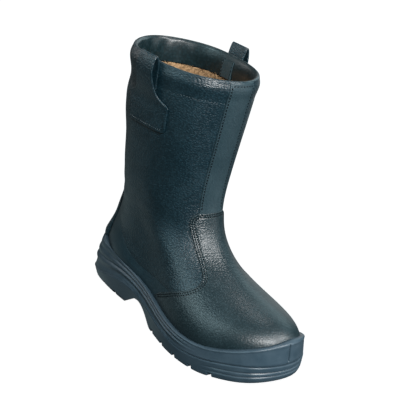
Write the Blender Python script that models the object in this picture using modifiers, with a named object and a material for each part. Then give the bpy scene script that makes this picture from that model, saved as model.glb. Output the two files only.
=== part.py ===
"""A fur-lined pull-on safety boot for the right foot, put together the way its maker would.

Tables are in millimetres. x runs forward from the back of the heel, y to the wearer's left and z up from the
floor. Blender's metres and the origin under the heel come in at the end, where a mesh is made.
"""

import math

import bmesh
import bpy
import numpy as np

MM = 0.001

# Driving sizes
SOLE_BACK, SOLE_FRONT = -8, 305
HEEL_REST_X = 48
WALL = 2.6
GAP, CUP_GAP = 0.35, 0.4
OVERLAY = 1.6
AROUND = 56

# The upper: one row for each section, from the edge under the foot up to the collar.
# A section is a closed ring from its back point round the outer side to its front point and home on the inner
# side. Half widths stand at the heel, waist, ball and toe. sag lowers the middle, swing turns the front inwards.
UPPER_COLUMNS = (
    "back_x", "back_z", "front_x", "front_z", "sag",
    "heel_out", "heel_in", "waist_out", "waist_in", "ball_out", "ball_in", "toe_out", "toe_in", "swing",
)
UPPER_SECTIONS = (
    (2.0, 33.5, 297.0, 30.0, 8.0, 31.5, 25.0, 39.5, 21.0, 54.5, 39.5, 40.0, 32.5, 6),
    (0.3, 46, 299.5, 42.5, 9.0, 33.5, 28.0, 41.0, 24.0, 56.0, 42.5, 40.0, 34.5, 6),
    (2.3, 62, 293.5, 53.0, 7.0, 34.5, 29.5, 40.5, 26.5, 53.0, 41.5, 37.0, 32.5, 6),
    (10.0, 82, 272.5, 61.0, 4.0, 31.0, 28.0, 38.5, 27.5, 46.0, 37.0, 28.5, 25.0, 5),
    (18.7, 101, 241.0, 69.0, 2.0, 30.0, 27.0, 37.0, 29.0, 41.0, 33.0, 24.0, 20.0, 4),
    (25.8, 119, 208.0, 83.0, 0.0, 30.5, 28.5, 37.0, 33.0, 38.0, 33.5, 21.5, 19.0, 3),
    (30.3, 138, 183.0, 104.5, 0.0, 32.0, 32.0, 40.0, 39.0, 37.5, 36.5, 22.0, 21.5, 2),
    (32.5, 159, 172.0, 130.5, 0.0, 33.5, 35.0, 44.0, 44.5, 41.0, 41.5, 25.0, 25.5, 1),
    (33.5, 184, 172.0, 162.0, 0.0, 36.0, 38.0, 47.0, 49.0, 44.0, 46.0, 28.0, 30.0, 0),
    (35.5, 218, 179.5, 201.5, 0.0, 38.5, 39.5, 51.5, 52.0, 48.5, 49.0, 31.5, 32.0, 0),
    (38.5, 255, 187.0, 238.5, 0.0, 41.5, 41.0, 55.0, 55.0, 52.0, 52.0, 34.0, 34.0, 0),
    (42.2, 298, 195.0, 276.0, 0.0, 43.0, 42.0, 57.5, 56.5, 54.5, 53.5, 36.0, 35.0, 0),
)
# Where the half widths stand along a section, and where each of its ten points stands round the ring.
STATIONS = np.array([0, 0.15, 0.42, 0.68, 0.90, 1, 0.90, 0.68, 0.42, 0.15])
RING_KNOTS = np.array([0, 0.09, 0.20, 0.31, 0.41, 0.50, 0.59, 0.69, 0.80, 0.91])
SAG_POWER = 1.8
SWING_POWER = 3

# The sole's outline where it is widest: the place round the ring as for a section, x, and the reach of the outer
# and the inner side.
SOLE_PLAN = (
    (0.000, SOLE_BACK, 0.0, 0.0),
    (0.045, 0.1, 29.9, 29.4),
    (0.090, 39.0, 42.0, 40.0),
    (0.200, 123.5, 47.0, 33.5),
    (0.310, 204.5, 61.5, 49.0),
    (0.410, 273.5, 44.5, 44.0),
    (0.460, 296.0, 24.0, 30.5),
    (0.500, SOLE_FRONT, -5.0, 5.0),
)
# Heights of the sole's ridge and rim along x, and how far its wall leans in at the rim.
SOLE_COLUMNS = ("x", "ridge", "rim", "lean")
SOLE_HEIGHTS = (
    (-10, 12.0, 50.0, 2.0),
    (30, 16.0, 49.4, 2.8),
    (60, 23.5, 48.2, 2.8),
    (88, 27.2, 45.5, 2.4),
    (118, 24.2, 41.0, 2.0),
    (150, 19.8, 34.7, 2.0),
    (205, 14.0, 27.7, 2.2),
    (245, 17.5, 29.3, 2.2),
    (280, 24.7, 40.0, 1.8),
    (306, 28.2, 50.5, 1.6),
)
# Relief of the sole's wall above its ridge: the share of the height, and how far it stands out at the side
# and at the plain toe bumper.
BAND_LEVELS = (
    (0.00, -1.0, -1.2),
    (0.07, -1.4, -0.6),
    (0.24, -1.8, -0.4),
    (0.33, -0.6, -0.4),
    (0.39, 0.0, -0.4),
    (0.46, -0.6, -0.4),
    (0.52, -1.8, -0.4),
    (0.60, -0.5, -0.4),
    (0.66, 0.0, -0.4),
    (0.73, -0.5, -0.4),
    (0.79, -1.8, -0.4),
    (0.88, -0.2, -0.2),
    (0.95, 0.0, -0.2),
    (1.00, -1.0, -1.2),
)
BUMPER_START, BUMPER_FULL = 170, 240
# Round the heel the wall also bows in to the upper, so that its rim is a thin edge there, wider under the strap.
RIM_EDGE, RIM_BACK = 2.2, 6.5
RIM_BACK_FULL, RIM_BACK_END = 0.05, 0.10
BOW_FULL, BOW_END, BOW_POWER = 45, 110, 2.2
# The tread's wall from the floor up to the ridge: the share of its taper, and the relief of the toe's two grooves.
HEEL_TAPER, FOREFOOT_TAPER = 5.0, 1.5
TAPER_START, TAPER_END = 84, 144
TREAD_LEVELS = (
    (0.00, 1.00, -1.0),
    (0.14, 0.62, -0.6),
    (0.32, 0.46, -0.1),
    (0.38, 0.42, -1.1),
    (0.44, 0.38, 0.0),
    (0.58, 0.27, 0.0),
    (0.64, 0.23, -1.0),
    (0.70, 0.19, 0.0),
    (0.94, 0.00, 0.0),
    (1.00, 0.20, -0.3),
)
TOE_GROOVE_START, TOE_GROOVE_FULL = 240, 262
TOE_SPRING, SPRING_START, SPRING_POWER = 11.5, 232, 1.6
HEEL_BEVEL, BEVEL_END = 5, 12

# The arch between the heel's breast and the forefoot, in side view.
BREAST_FOOT, BREAST_TOP, ARCH_TOP, ARCH_END = (83, 0), (107, 16.5), (116, 18), (148, 0)
ARCH_POINTS = 7
# Tread grooves: where each one leaves the sole's edge, its width and depth, and how far its middle lies forward.
GROOVE_X = (34, 61.5, 157, 182, 207, 231, 253)
GROOVE_WIDTH, GROOVE_DEPTH, GROOVE_POINT = 5, 4.5, 7
GROOVE_REACH = 90

INSOLE_THICK, INSOLE_CLEAR = 5, 0.8

# Panel edges in side view, x and z.
VAMP_EDGE = (
    (144, 30), (145, 37), (164, 50.5), (180, 59), (191, 63.5), (197.5, 67.5), (200.5, 71.5), (200, 75),
    (197.4, 78), (192, 82.4), (182, 91), (172.3, 101.6), (165.6, 113), (162, 123), (162.3, 129), (166, 135),
)
VAMP_TOP = 136
COUNTER_EDGE = (
    (30, 94), (45.5, 89), (54.5, 83.5), (65, 76.5), (78, 69), (93, 62.5), (104, 59.8), (120, 58.6), (150, 58.8),
)
VAMP_WING = 4
STRIP_TOP, STRIP_BOTTOM = 15.8, 14.2
# The back strap: its reach round the heel, its top, its gap to the upper, its edge,
# and its crown from its foot up.
STRAP_REACH, STRAP_TOP, STRAP_GAP, STRAP_EDGE = 0.042, 127, 0.6, 0.8
STRAP_CROWN = ((0.0, 7.6), (0.06, 7.2), (0.13, 5.2), (0.25, 2.8), (0.5, 2.5), (0.8, 1.9), (1.0, 0.6))
STRAP_STEPS, STRAP_ACROSS = 9, 9
# Where the counters stop beside the strap, y and z.
COUNTER_STOP = ((24.4, 0), (17.7, 100))
FAR = 400

# The pull loops: where each one stands round the collar, how high above it the strap folds, and the strap's way
# up, over and down to its patch: height from the collar, lift off the upper, and half width.
LOOP_PLACES = {"lateral": 0.237, "medial": 0.780}
LOOP_RISES = {"lateral": 5.5, "medial": 10.5}
STRAP_LEATHER = 2.0
LOOP_PATH = (
    (-28, 1.4, 12.0),
    (-15, 1.4, 12.0),
    (-3, 1.6, 12.0),
    ("fold", 6.2, 12.0),
    (-3, 11.8, 12.0),
    (-15, 11.6, 12.0),
    (-28, 8.2, 12.5),
    (-37, 3.6, 15.0),
    (-43, 1.5, 25.5),
    (-49, 1.4, 30.0),
    (-66, 1.4, 29.0),
    (-69, 1.4, 26.0),
)
LOOP_STEPS, LOOP_ACROSS = 22, 6

COLLECTION = "insulated_safety_boot"
# Colour, roughness of each finish
FINISHES = {
    "leather": ((0.020, 0.025, 0.030), 0.42),
    "smooth_leather": ((0.035, 0.042, 0.048), 0.38),
    "sole": ((0.028, 0.036, 0.045), 0.50),
    "felt": ((0.30, 0.22, 0.14), 0.95),
}


def cubic_through(knots, values, wanted, period=None):
    """A cubic spline through the values at the knots, natural at its ends or closed over a period."""
    knots = np.asarray(knots, float)
    values = np.asarray(values, float)
    wanted = np.asarray(wanted, float)
    if period:
        knots = np.append(knots, knots[0] + period)
        values = np.concatenate([values, values[:1]])
        wanted = knots[0] + np.mod(wanted - knots[0], period)
    count = len(knots)
    step = np.diff(knots)
    slope = np.diff(values, axis=0) / step[:, None]
    matrix = np.zeros((count, count))
    right = np.zeros_like(values)
    for i in range(1, count - 1):
        matrix[i, i - 1 : i + 2] = step[i - 1], 2 * (step[i - 1] + step[i]), step[i]
        right[i] = 6 * (slope[i] - slope[i - 1])
    if period:
        matrix[0, 0], matrix[0, -1] = 1, -1
        matrix[-1, [0, 1, -2, -1]] = 2 * step[0], step[0], step[-1], 2 * step[-1]
        right[-1] = 6 * (slope[0] - slope[-1])
    else:
        matrix[0, 0] = matrix[-1, -1] = 1
    bend = np.linalg.solve(matrix, right)
    i = np.clip(np.searchsorted(knots, wanted, side="right") - 1, 0, count - 2)
    after = ((wanted - knots[i]) / step[i])[..., None]
    before = 1 - after
    curve = (before**3 - before) * bend[i] + (after**3 - after) * bend[i + 1]
    return before * values[i] + after * values[i + 1] + curve * (step[i] ** 2 / 6)[..., None]


def blend(start, full, x):
    """0 before start, 1 past full, smooth between them."""
    share = np.clip((x - start) / (full - start), 0, 1)
    return share * share * (3 - 2 * share)


def section_ring(row):
    """The ten points of one section."""
    size = dict(zip(UPPER_COLUMNS, row))
    out = [size[name] for name in ("heel_out", "waist_out", "ball_out", "toe_out")]
    inner = [size[name] for name in ("toe_in", "ball_in", "waist_in", "heel_in")]
    x = size["back_x"] + STATIONS * (size["front_x"] - size["back_x"])
    y = np.array([0, *np.negative(out), 0, *inner]) + size["swing"] * STATIONS**SWING_POWER
    z = size["back_z"] + STATIONS * (size["front_z"] - size["back_z"])
    z = z - size["sag"] * np.sin(math.pi * STATIONS**SAG_POWER)
    return np.stack([x, y, z], axis=-1)


UPPER_NET = np.array([section_ring(row) for row in UPPER_SECTIONS])
SPACING = np.linalg.norm(np.diff(UPPER_NET, axis=0), axis=2).mean(axis=1)
LEVEL_KNOTS = np.concatenate([[0], np.cumsum(SPACING)]) / SPACING.sum()
PLAN_OUT = [(around, x, -out) for around, x, out, _ in SOLE_PLAN]
PLAN_IN = [(1 - around, x, inner) for around, x, _, inner in SOLE_PLAN[-2:0:-1]]
PLAN_RING = np.array(PLAN_OUT + PLAN_IN)


def upper_point(around, level):
    """A point of the upper's outer face. around: 0 at the heel, 0.5 at the front. level: 0 below, 1 at the collar."""
    around, level = np.broadcast_arrays(np.asarray(around, float), np.asarray(level, float))
    by_level = cubic_through(LEVEL_KNOTS, np.eye(len(LEVEL_KNOTS)), level)
    by_around = cubic_through(RING_KNOTS, np.eye(len(RING_KNOTS)), around, period=1)
    return np.einsum("...j,...k,jkc->...c", by_level, by_around, UPPER_NET)


def upper_frame(around, level):
    """Unit vectors round the upper, up it and out of it."""
    step = 1e-3
    round_it = upper_point(around + step, level) - upper_point(around - step, level)
    low, high = np.clip(level - step, 0, 1), np.clip(level + step, 0, 1)
    up_it = upper_point(around, high) - upper_point(around, low)
    out_of_it = np.cross(round_it, up_it)
    return [v / np.linalg.norm(v, axis=-1, keepdims=True) for v in (round_it, up_it, out_of_it)]


def sole_outline(around, outset):
    """The sole's outline in plan, moved out by outset."""
    step = 1e-3
    knots, plan = PLAN_RING[:, 0], PLAN_RING[:, 1:]
    point = cubic_through(knots, plan, around, period=1)
    along = cubic_through(knots, plan, around + step, period=1) - point
    outward = np.stack([along[:, 1], -along[:, 0]], axis=-1)
    outward /= np.linalg.norm(outward, axis=-1, keepdims=True)
    return point + outward * np.broadcast_to(outset, len(point))[:, None]


def sole_height(name, x):
    table = np.array(SOLE_HEIGHTS, float)
    return cubic_through(table[:, 0], table[:, [SOLE_COLUMNS.index(name)]], x)[..., 0]


def ground(x):
    """The tread's lowest line: flat, with a bevel behind the heel and the spring of the toe."""
    share = np.clip((x - SPRING_START) / (SOLE_FRONT - SPRING_START), 0, None)
    bevel = np.clip((BEVEL_END - x) / (BEVEL_END - SOLE_BACK), 0, None)
    return TOE_SPRING * share**SPRING_POWER + HEEL_BEVEL * bevel**2


def rim_level(around):
    """The upper's level at the top of the sole's rim."""
    x = sole_outline(around, 0)[:, 0]
    rim = sole_height("rim", x)
    levels = np.linspace(0, 0.4, 41)
    heights = upper_point(around[:, None], levels[None, :])[..., 2]
    return np.array([np.interp(z, column, levels) for z, column in zip(rim, heights)])


RING = np.arange(AROUND) / AROUND
RIM_LEVEL = rim_level(RING)
# Rows of the upper's grid: below 0 it is inside the sole's rim, and at 1 it is the collar.
BELOW_RIM = (-1.0, -0.66, -0.33)
ABOVE_RIM = tuple((np.arange(18) / 17) ** 1.25)
OVERLAY_ROWS = (0.006,) + ABOVE_RIM[1:]


def upper_grid(rows, lift):
    """Points of the upper's outer face, moved out by lift, as rows of rings."""
    rows = np.array(rows)[:, None]
    level = np.where(rows < 0, RIM_LEVEL * (1 + rows), RIM_LEVEL + (1 - RIM_LEVEL) * rows)
    around = np.broadcast_to(RING, level.shape)
    return upper_point(around, level) + lift * upper_frame(around, level)[2]


def make_object(name, mesh, finish):
    """A mesh in millimetres becomes a named object in metres, with its origin under the heel."""
    made = bpy.data.meshes.new(name)
    bmesh.ops.recalc_face_normals(mesh, faces=mesh.faces)
    for vert in mesh.verts:
        vert.co = ((vert.co.x - HEEL_REST_X) * MM, vert.co.y * MM, vert.co.z * MM)
    mesh.to_mesh(made)
    mesh.free()
    made.shade_smooth()
    made.set_sharp_from_angle(angle=math.radians(40))
    item = bpy.data.objects.new(name, made)
    if finish:
        made.materials.append(bpy.data.materials[finish])
        bpy.data.collections[COLLECTION].objects.link(item)
        item.parent = bpy.data.objects["boot"]
    else:
        item.hide_render = True
        item.display_type = "WIRE"
        bpy.data.collections["cutters"].objects.link(item)
    return item


def grid_mesh(points, closed):
    """Quads between rows of points. A closed grid joins the end of each row to its start."""
    mesh = bmesh.new()
    rows = [[mesh.verts.new(point) for point in row] for row in points]
    count = len(rows[0])
    for low, high in zip(rows, rows[1:]):
        for i in range(count if closed else count - 1):
            k = (i + 1) % count
            mesh.faces.new((low[i], low[k], high[k], high[i]))
    return mesh, rows


def ring_solid(name, rings, finish):
    """A solid between rings, closed by strips across its first and last ring."""
    mesh, rows = grid_mesh(rings, closed=True)
    half = AROUND // 2
    for row in (rows[0], rows[-1]):
        for i in range(half):
            strip = (row[i], row[i + 1], row[-i - 1], row[-i])
            mesh.faces.new(list(dict.fromkeys(strip)))
    return make_object(name, mesh, finish)


def prism(name, outline, axis, low, high):
    """A cutter: an outline in the plane across an axis, drawn out along that axis."""
    mesh = bmesh.new()
    corners = []
    for u, v in outline:
        place = [u, v]
        place.insert(axis, low)
        corners.append(mesh.verts.new(place))
    face = mesh.faces.new(corners)
    drawn = bmesh.ops.extrude_face_region(mesh, geom=[face])
    offset = [0, 0, 0]
    offset[axis] = high - low
    moved = [item for item in drawn["geom"] if isinstance(item, bmesh.types.BMVert)]
    bmesh.ops.translate(mesh, verts=moved, vec=offset)
    return make_object(name, mesh, None)


def cut(item, cutter, operation):
    modifier = item.modifiers.new(cutter.name, "BOOLEAN")
    modifier.operation = operation
    modifier.solver = "EXACT"
    modifier.object = cutter


def thicken(item, thickness, side):
    """A wall of this thickness from an open surface, inwards where side is -1 and outwards where it is 1."""
    modifier = item.modifiers.new("wall", "SOLIDIFY")
    modifier.thickness = thickness * MM
    modifier.offset = side
    modifier.use_even_offset = True


def make_upper():
    mesh, _ = grid_mesh(upper_grid(BELOW_RIM + ABOVE_RIM, 0), closed=True)
    thicken(make_object("upper", mesh, "leather"), WALL, -1)


def overlay(name, finish, thickness, cutters):
    """A panel cut from a shell that lies on the upper, by the cutters that bound it."""
    mesh, _ = grid_mesh(upper_grid(OVERLAY_ROWS, GAP), closed=True)
    item = make_object(name, mesh, finish)
    thicken(item, thickness, 1)
    for cutter in cutters:
        cut(item, cutter, "INTERSECT")


def make_panels():
    vamp_area = VAMP_EDGE + ((175, VAMP_TOP), (FAR, VAMP_TOP), (FAR, 0), (VAMP_EDGE[0][0], 0))
    overlay("vamp", "leather", OVERLAY, [prism("vamp_area", vamp_area, 1, -FAR, FAR)])

    strip_foot = VAMP_TOP + GAP
    strip_area = (
        (-STRIP_BOTTOM, strip_foot), (STRIP_BOTTOM, strip_foot), (STRIP_TOP, FAR), (-STRIP_TOP, FAR),
    )
    overlay("front_strip", "smooth_leather", OVERLAY, [prism("strip_area", strip_area, 0, 110, FAR)])

    wing = [(x - 0.7 * GAP, z + 0.8 * GAP) for x, z in VAMP_EDGE[:VAMP_WING]]
    back = ((-FAR, 0), (-FAR, COUNTER_EDGE[0][1]))
    counter_area = back + COUNTER_EDGE + tuple(reversed(wing)) + ((wing[0][0], 0),)
    for side, sign in (("lateral", -1), ("medial", 1)):
        area = prism(f"counter_area_{side}", counter_area, 1, *sorted((0, sign * FAR)))
        foot, top = COUNTER_STOP
        beside = (foot, top, (FAR, top[1]), (FAR, foot[1]))
        stop = prism(f"counter_stop_{side}", [(sign * y, z) for y, z in beside], 0, -FAR, FAR)
        overlay(f"heel_counter_{side}", "smooth_leather", OVERLAY, [area, stop])


def make_back_strap():
    """A padded strap up the heel: flat on the upper, crowned outside, thinning to its top."""
    levels = np.linspace(0, 0.6, 121)
    heights = upper_point(0.0, levels)[:, 2]
    foot = RIM_LEVEL[0] + OVERLAY_ROWS[0]
    top = np.interp(STRAP_TOP, heights, levels)
    share = np.linspace(0, 1, STRAP_STEPS)[:, None]
    across = np.linspace(-1, 1, STRAP_ACROSS)
    crown = np.interp(share, *np.transpose(STRAP_CROWN))
    outside = STRAP_GAP + STRAP_EDGE + crown * (1 - across**4)
    ring = np.concatenate([across, across[::-1]])
    lift = np.concatenate([np.full_like(outside, STRAP_GAP), outside[:, ::-1]], axis=1)
    level = np.broadcast_to(foot + (top - foot) * share, lift.shape)
    around = np.broadcast_to(STRAP_REACH * ring, lift.shape)
    points = upper_point(around, level) + lift[..., None] * upper_frame(around, level)[2]
    mesh, rows = grid_mesh(points, closed=True)
    for row in (rows[0], rows[-1]):
        for i in range(STRAP_ACROSS - 1):
            mesh.faces.new((row[i], row[i + 1], row[-i - 2], row[-i - 1]))
    make_object("back_strap", mesh, "leather")


def loop_point(side, share, across):
    """The middle of a pull loop's strap, share of the way along it and across it from -1 to 1."""
    table = np.array([[LOOP_RISES[side] if v == "fold" else v for v in row] for row in LOOP_PATH], float)
    length = np.linalg.norm(np.diff(table[:, :2], axis=0), axis=1)
    knots = np.concatenate([[0], np.cumsum(length)]) / length.sum()
    height, lift, half = np.moveaxis(cubic_through(knots, table, share), -1, 0)
    place = LOOP_PLACES[side]
    girth = np.linalg.norm(upper_point(place + 5e-3, 1.0) - upper_point(place - 5e-3, 1.0)) * 100
    shaft = np.linalg.norm(upper_point(place, 0.8) - upper_point(place, 1.0)) / 0.2
    around = place + across * half / girth
    level = 1 + height / shaft
    inside = np.minimum(level, 1)
    _, up_it, out_of_it = upper_frame(around, inside)
    above = np.maximum(height, 0)[..., None]
    return upper_point(around, inside) + above * up_it + lift[..., None] * out_of_it


def make_loops():
    share = np.linspace(0, 1, LOOP_STEPS)[:, None]
    across = np.linspace(-1, 1, LOOP_ACROSS)[None, :]
    share, across = np.broadcast_arrays(share, across)
    for side in LOOP_RISES:
        mesh, _ = grid_mesh(loop_point(side, share, across), closed=False)
        thicken(make_object(f"pull_loop_{side}", mesh, "leather"), STRAP_LEATHER, 0)


def sole_ring(outset, z):
    """A ring of the sole: its outline moved out by outset, at the heights z."""
    plan = sole_outline(RING, outset)
    return np.concatenate([plan, np.broadcast_to(z, len(plan))[:, None]], axis=1)


def wall_ring(outset, z, share):
    """A ring of the sole's wall, bowed in round the heel by its share of the wall's height."""
    ring = sole_ring(outset, z)
    bow = (1 - blend(BOW_FULL, BOW_END, ring[:, 0])) * share**BOW_POWER
    from_back = np.minimum(RING, 1 - RING)
    lift = RIM_EDGE + RIM_BACK * (1 - blend(RIM_BACK_FULL, RIM_BACK_END, from_back))
    edge = upper_grid((0,), lift[:, None])[0]
    return ring + bow[:, None] * (edge - ring) * (1, 1, 0)


def make_midsole():
    x = sole_outline(RING, 0)[:, 0]
    ridge, rim, lean = (sole_height(name, x) for name in SOLE_COLUMNS[1:])
    bumper = blend(BUMPER_START, BUMPER_FULL, x)
    rings = []
    for share, side, toe in BAND_LEVELS:
        relief = side + (toe - side) * bumper
        rings.append(wall_ring(relief - lean * share, ridge + (rim - ridge) * share, share))
    cup = upper_grid((0, *BELOW_RIM[::-1]), CUP_GAP)
    rings.extend(cup)
    floor = cup[-1] - (0, 0, 2 * CUP_GAP)
    rings.append(floor)
    ring_solid("midsole", rings, "sole")


def make_outsole():
    x = sole_outline(RING, 0)[:, 0]
    low = ground(x)
    high = sole_height("ridge", x) - GAP
    grooves = blend(TOE_GROOVE_START, TOE_GROOVE_FULL, x)
    rings = []
    taper = HEEL_TAPER + (FOREFOOT_TAPER - HEEL_TAPER) * blend(TAPER_START, TAPER_END, x)
    for share, tapered, toe in TREAD_LEVELS:
        rings.append(sole_ring(toe * grooves - tapered * taper, low + (high - low) * share))
    sole = ring_solid("outsole", rings, "sole")
    cut(sole, arch_cutter(), "DIFFERENCE")
    for number, x in enumerate(GROOVE_X):
        cut(sole, groove_cutter(number, x), "DIFFERENCE")


def arch_cutter():
    """The hollow under the waist: the heel's sloping breast, a round top and a long fall to the forefoot."""
    fall = []
    for i in range(ARCH_POINTS):
        share = i / (ARCH_POINTS - 1)
        x = ARCH_TOP[0] + share * (ARCH_END[0] - ARCH_TOP[0])
        fall.append((x, ARCH_TOP[1] * math.cos(share * math.pi / 2)))
    below = ((ARCH_END[0], -FAR), (BREAST_FOOT[0], -FAR))
    return prism("arch", (BREAST_FOOT, BREAST_TOP, *fall, *below), 1, -FAR, FAR)


def groove_cutter(number, x):
    """A groove across the tread, its middle ahead of its ends."""
    half = GROOVE_WIDTH / 2
    front = [(x + half, -GROOVE_REACH / 2), (x + half + GROOVE_POINT, 0), (x + half, GROOVE_REACH / 2)]
    back = [(u - GROOVE_WIDTH, v) for u, v in reversed(front)]
    spread = [(u - GROOVE_POINT * (abs(v) * 2 / GROOVE_REACH), v * 2) for u, v in front + back]
    return prism(f"groove_{number}", spread, 2, -FAR, float(ground(x)) + GROOVE_DEPTH)


def make_insole():
    """The footbed, just inside the upper's wall and just above the cup of the midsole."""
    foot = upper_grid(BELOW_RIM[:1], -WALL - INSOLE_CLEAR)[0]
    under = foot - (0, 0, GAP)
    over = foot + (0, 0, INSOLE_THICK)
    ring_solid("insole", [under, over], "felt")


def clear_scene():
    for item in list(bpy.data.objects):
        bpy.data.objects.remove(item, do_unlink=True)
    for name in (COLLECTION, "cutters"):
        bpy.context.scene.collection.children.link(bpy.data.collections.new(name))
    boot = bpy.data.objects.new("boot", None)
    bpy.data.collections[COLLECTION].objects.link(boot)


def make_finishes():
    for name, (colour, roughness) in FINISHES.items():
        material = bpy.data.materials.new(name)
        material.use_nodes = True
        shader = material.node_tree.nodes["Principled BSDF"]
        shader.inputs["Base Color"].default_value = (*colour, 1)
        shader.inputs["Roughness"].default_value = roughness
        shader.inputs["Metallic"].default_value = 0


def main():
    clear_scene()
    make_finishes()
    make_outsole()
    make_midsole()
    make_insole()
    make_upper()
    make_panels()
    make_back_strap()
    make_loops()


main()
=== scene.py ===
"""The looks of a fur-lined pull-on safety boot for the right foot.

Tables are in millimetres. x runs forward from the back of the heel, y to the wearer's left and z up from the
floor, as in the part's source. The frame's metres, with the origin under the heel, come in where a mesh
is made.
"""

import math

import bpy
import numpy as np
from mathutils import Matrix, Vector


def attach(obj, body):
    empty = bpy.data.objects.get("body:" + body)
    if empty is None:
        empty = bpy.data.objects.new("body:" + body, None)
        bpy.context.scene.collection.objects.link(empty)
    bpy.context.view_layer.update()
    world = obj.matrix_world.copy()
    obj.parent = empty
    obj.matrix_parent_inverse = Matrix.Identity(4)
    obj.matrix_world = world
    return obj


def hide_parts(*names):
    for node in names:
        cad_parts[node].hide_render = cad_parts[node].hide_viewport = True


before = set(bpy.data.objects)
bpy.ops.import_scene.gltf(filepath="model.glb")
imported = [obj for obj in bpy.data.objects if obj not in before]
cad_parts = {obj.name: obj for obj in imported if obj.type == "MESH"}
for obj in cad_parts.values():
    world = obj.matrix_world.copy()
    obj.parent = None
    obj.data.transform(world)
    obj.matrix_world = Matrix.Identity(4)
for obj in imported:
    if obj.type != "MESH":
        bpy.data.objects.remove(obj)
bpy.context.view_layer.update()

MM = 0.001
SEED = 11

# The part's own sizes
SOLE_BACK, SOLE_FRONT = -8, 305
HEEL_REST_X = 48
GAP, CUP_GAP = 0.35, 0.4
UPPER_COLUMNS = (
    "back_x", "back_z", "front_x", "front_z", "sag",
    "heel_out", "heel_in", "waist_out", "waist_in", "ball_out", "ball_in", "toe_out", "toe_in", "swing",
)
UPPER_SECTIONS = (
    (2.0, 33.5, 297.0, 30.0, 8.0, 31.5, 25.0, 39.5, 21.0, 54.5, 39.5, 40.0, 32.5, 6),
    (0.3, 46, 299.5, 42.5, 9.0, 33.5, 28.0, 41.0, 24.0, 56.0, 42.5, 40.0, 34.5, 6),
    (2.3, 62, 293.5, 53.0, 7.0, 34.5, 29.5, 40.5, 26.5, 53.0, 41.5, 37.0, 32.5, 6),
    (10.0, 82, 272.5, 61.0, 4.0, 31.0, 28.0, 38.5, 27.5, 46.0, 37.0, 28.5, 25.0, 5),
    (18.7, 101, 241.0, 69.0, 2.0, 30.0, 27.0, 37.0, 29.0, 41.0, 33.0, 24.0, 20.0, 4),
    (25.8, 119, 208.0, 83.0, 0.0, 30.5, 28.5, 37.0, 33.0, 38.0, 33.5, 21.5, 19.0, 3),
    (30.3, 138, 183.0, 104.5, 0.0, 32.0, 32.0, 40.0, 39.0, 37.5, 36.5, 22.0, 21.5, 2),
    (32.5, 159, 172.0, 130.5, 0.0, 33.5, 35.0, 44.0, 44.5, 41.0, 41.5, 25.0, 25.5, 1),
    (33.5, 184, 172.0, 162.0, 0.0, 36.0, 38.0, 47.0, 49.0, 44.0, 46.0, 28.0, 30.0, 0),
    (35.5, 218, 179.5, 201.5, 0.0, 38.5, 39.5, 51.5, 52.0, 48.5, 49.0, 31.5, 32.0, 0),
    (38.5, 255, 187.0, 238.5, 0.0, 41.5, 41.0, 55.0, 55.0, 52.0, 52.0, 34.0, 34.0, 0),
    (42.2, 298, 195.0, 276.0, 0.0, 43.0, 42.0, 57.5, 56.5, 54.5, 53.5, 36.0, 35.0, 0),
)
STATIONS = np.array([0, 0.15, 0.42, 0.68, 0.90, 1, 0.90, 0.68, 0.42, 0.15])
RING_KNOTS = np.array([0, 0.09, 0.20, 0.31, 0.41, 0.50, 0.59, 0.69, 0.80, 0.91])
SAG_POWER = 1.8
SWING_POWER = 3
SOLE_PLAN = (
    (0.000, SOLE_BACK, 0.0, 0.0),
    (0.045, 0.1, 29.9, 29.4),
    (0.090, 39.0, 42.0, 40.0),
    (0.200, 123.5, 47.0, 33.5),
    (0.310, 204.5, 61.5, 49.0),
    (0.410, 273.5, 44.5, 44.0),
    (0.460, 296.0, 24.0, 30.5),
    (0.500, SOLE_FRONT, -5.0, 5.0),
)
SOLE_COLUMNS = ("x", "ridge", "rim", "lean")
SOLE_HEIGHTS = (
    (-10, 12.0, 50.0, 2.0),
    (30, 16.0, 49.4, 2.8),
    (60, 23.5, 48.2, 2.8),
    (88, 27.2, 45.5, 2.4),
    (118, 24.2, 41.0, 2.0),
    (150, 19.8, 34.7, 2.0),
    (205, 14.0, 27.7, 2.2),
    (245, 17.5, 29.3, 2.2),
    (280, 24.7, 40.0, 1.8),
    (306, 28.2, 50.5, 1.6),
)
BAND_LEVELS = (
    (0.00, -1.0, -1.2),
    (0.07, -1.4, -0.6),
    (0.24, -1.8, -0.4),
    (0.33, -0.6, -0.4),
    (0.39, 0.0, -0.4),
    (0.46, -0.6, -0.4),
    (0.52, -1.8, -0.4),
    (0.60, -0.5, -0.4),
    (0.66, 0.0, -0.4),
    (0.73, -0.5, -0.4),
    (0.79, -1.8, -0.4),
    (0.88, -0.2, -0.2),
    (0.95, 0.0, -0.2),
    (1.00, -1.0, -1.2),
)
BUMPER_START, BUMPER_FULL = 170, 240
RIM_EDGE, RIM_BACK = 2.2, 6.5
RIM_BACK_FULL, RIM_BACK_END = 0.05, 0.10
BOW_FULL, BOW_END, BOW_POWER = 45, 110, 2.2
HEEL_TAPER, FOREFOOT_TAPER = 5.0, 1.5
TAPER_START, TAPER_END = 84, 144
TREAD_LEVELS = (
    (0.00, 1.00, -1.0),
    (0.14, 0.62, -0.6),
    (0.32, 0.46, -0.1),
    (0.38, 0.42, -1.1),
    (0.44, 0.38, 0.0),
    (0.58, 0.27, 0.0),
    (0.64, 0.23, -1.0),
    (0.70, 0.19, 0.0),
    (0.94, 0.00, 0.0),
    (1.00, 0.20, -0.3),
)
TOE_GROOVE_START, TOE_GROOVE_FULL = 240, 262
TOE_SPRING, SPRING_START, SPRING_POWER = 11.5, 232, 1.6
HEEL_BEVEL, BEVEL_END = 5, 12
BREAST_FOOT, BREAST_TOP, ARCH_TOP, ARCH_END = (83, 0), (107, 16.5), (116, 18), (148, 0)
ARCH_POINTS = 25
GROOVE_X = (34, 61.5, 157, 182, 207, 231, 253)
GROOVE_WIDTH, GROOVE_DEPTH, GROOVE_POINT = 5, 4.5, 7
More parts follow.
